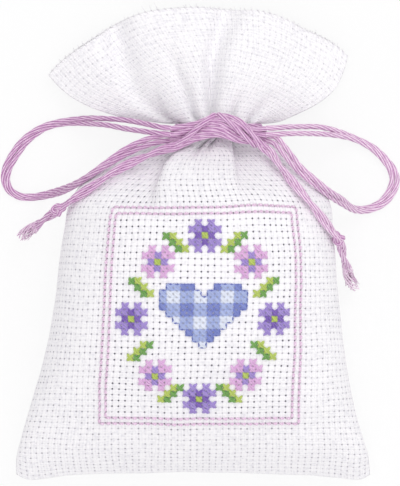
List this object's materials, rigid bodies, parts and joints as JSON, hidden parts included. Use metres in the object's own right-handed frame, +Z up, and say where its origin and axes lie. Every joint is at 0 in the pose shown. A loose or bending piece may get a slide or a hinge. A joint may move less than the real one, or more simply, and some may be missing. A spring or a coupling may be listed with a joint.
{
  "type": "lavender sachet",
  "caption": "Filled white Aida cloth bag with a gathered frill, tied at the neck with a doubled mauve cord in a bow, cross stitch on its front.",
  "frame": {"origin": "under the middle of the bag, on the surface that its back lies on", "axes": "+X across the bag, +Y from the bottom seam to the frill, +Z up out of the stitched front"},
  "size_m": [0.0885, 0.107, 0.0375],
  "materials": {
    "cloth": "white 18-count Aida evenweave cotton with a hole at each block corner",
    "sewing_thread": "white cotton sewing thread",
    "cord": "mauve stranded cotton, twisted, slightly lustrous",
    "lavender": "dried lavender buds",
    "pink_thread": "pale pink stranded cotton, backstitched",
    "violet_thread": "violet stranded cotton, cross stitched",
    "mauve_thread": "pink mauve stranded cotton, cross stitched",
    "green_thread": "leaf green stranded cotton, cross stitched",
    "blue_thread": "blue stranded cotton, cross stitched in checks"
  },
  "bodies": {
    "bag": {"front_panel": "cloth", "back_panel": "cloth", "front_mouth_edging": "sewing_thread", "back_mouth_edging": "sewing_thread", "left_seam_thread": "sewing_thread", "right_seam_thread": "sewing_thread", "bottom_seam_thread": "sewing_thread", "lavender_filling": "lavender", "neck_turn_upper": "cord", "neck_turn_lower": "cord", "bow_knot": "cord", "knot_wrap_left": "cord", "knot_wrap_right": "cord", "outer_frame_backstitch": "pink_thread", "inner_frame_backstitch": "pink_thread", "heart_stitching": "blue_thread", "flower_stitching_1": "violet_thread", "flower_stitching_2": "mauve_thread", "flower_stitching_3": "violet_thread", "flower_stitching_4": "mauve_thread", "flower_stitching_5": "violet_thread", "flower_stitching_6": "mauve_thread", "flower_stitching_7": "violet_thread", "flower_stitching_8": "mauve_thread", "leaf_stitching_1": "green_thread", "leaf_stitching_2": "green_thread", "leaf_stitching_3": "green_thread", "leaf_stitching_4": "green_thread", "leaf_stitching_5": "green_thread", "leaf_stitching_6": "green_thread", "leaf_stitching_7": "green_thread", "leaf_stitching_8": "green_thread"},
    "left_loop": {"left_loop_outer_strand": "cord", "left_loop_inner_strand": "cord"},
    "right_loop": {"right_loop_outer_strand": "cord", "right_loop_inner_strand": "cord"},
    "left_tail": {"left_tail": "cord", "left_end_knot": "cord", "left_tassel": "cord"},
    "right_tail": {"right_tail": "cord", "right_end_knot": "cord", "right_tassel": "cord"}
  },
  "joints": [
    {"name": "left_loop_lift", "type": "hinge", "parent": "bag", "child": "left_loop", "pos_m": [-0.005, 0.0225, 0.0209], "axis": [0, 1, 0], "range_deg": [0, 60]},
    {"name": "right_loop_lift", "type": "hinge", "parent": "bag", "child": "right_loop", "pos_m": [0.016, 0.0225, 0.0209], "axis": [-0.5, -0.866, 0], "range_deg": [0, 45]},
    {"name": "left_tail_lift", "type": "hinge", "parent": "bag", "child": "left_tail", "pos_m": [-0.005, 0.0203, 0.0211], "axis": [-0.515, 0.8572, 0], "range_deg": [0, 60]},
    {"name": "right_tail_lift", "type": "hinge", "parent": "bag", "child": "right_tail", "pos_m": [0.016, 0.0204, 0.0215], "axis": [-0.788, -0.6157, 0], "range_deg": [0, 45]}
  ]
}
